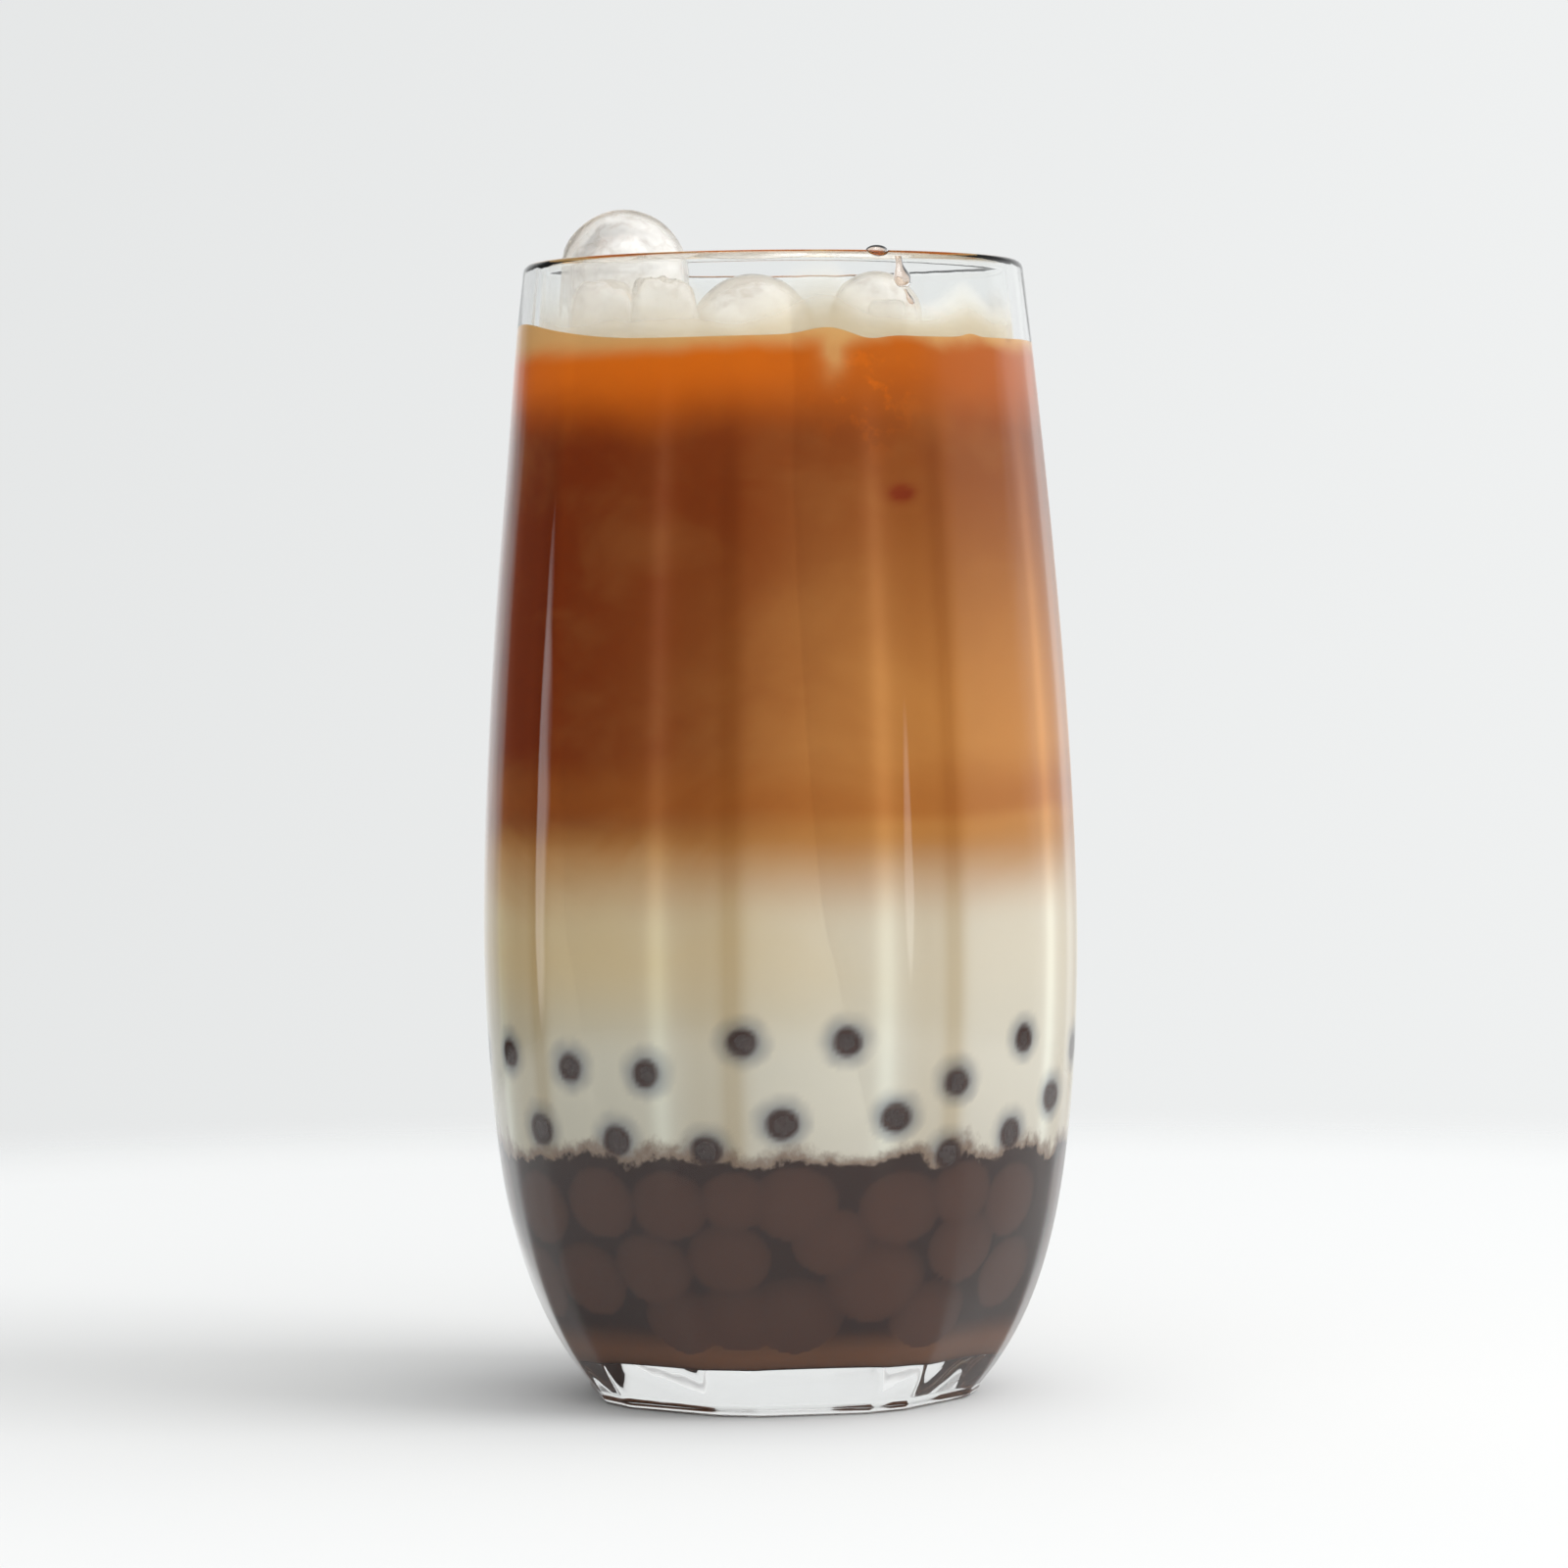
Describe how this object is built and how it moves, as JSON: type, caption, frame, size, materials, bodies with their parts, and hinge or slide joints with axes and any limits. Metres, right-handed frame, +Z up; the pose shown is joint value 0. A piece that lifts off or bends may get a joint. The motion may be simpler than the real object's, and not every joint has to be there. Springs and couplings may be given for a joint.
{
  "type": "bubble tea",
  "caption": "Bubble tea in a tall eight-sided glass that stands free: syrup with tapioca pearls, milk with pearls at the wall, a layer of milk tea and ice that rises over the rim.",
  "frame": {"origin": "centre of the glass's foot, on the surface that it stands on", "axes": "+Z up along the glass's axis; -Y is the side that the picture shows, +X to its right"},
  "size_m": [0.0758, 0.0758, 0.1516],
  "materials": {
    "clear_glass": "clear and glossy",
    "ice": "clear, wet, a little cloudy inside",
    "tea": "milky tea behind glass",
    "milk": "milk behind glass",
    "tapioca": "dark, wet and glossy"
  },
  "bodies": {
    "root": {"glass": "clear_glass", "tea": "tea", "milk": "milk", "pearl_heap": "tapioca", "ice_dome": "ice", "ice_middle": "ice", "ice_right": "ice", "ice_block": "ice", "ice_lump": "ice", "ice_bit": "ice", "pearl_01": "tapioca", "pearl_02": "tapioca", "pearl_03": "tapioca", "pearl_04": "tapioca", "pearl_05": "tapioca", "pearl_06": "tapioca", "pearl_07": "tapioca", "pearl_08": "tapioca", "pearl_09": "tapioca", "pearl_10": "tapioca", "pearl_11": "tapioca", "pearl_12": "tapioca", "pearl_13": "tapioca", "pearl_14": "tapioca", "pearl_15": "tapioca", "pearl_16": "tapioca", "pearl_17": "tapioca", "pearl_18": "tapioca", "pearl_19": "tapioca", "pearl_20": "tapioca", "pearl_21": "tapioca", "pearl_22": "tapioca", "pearl_23": "tapioca", "pearl_24": "tapioca", "pearl_25": "tapioca"}
  },
  "joints": []
}
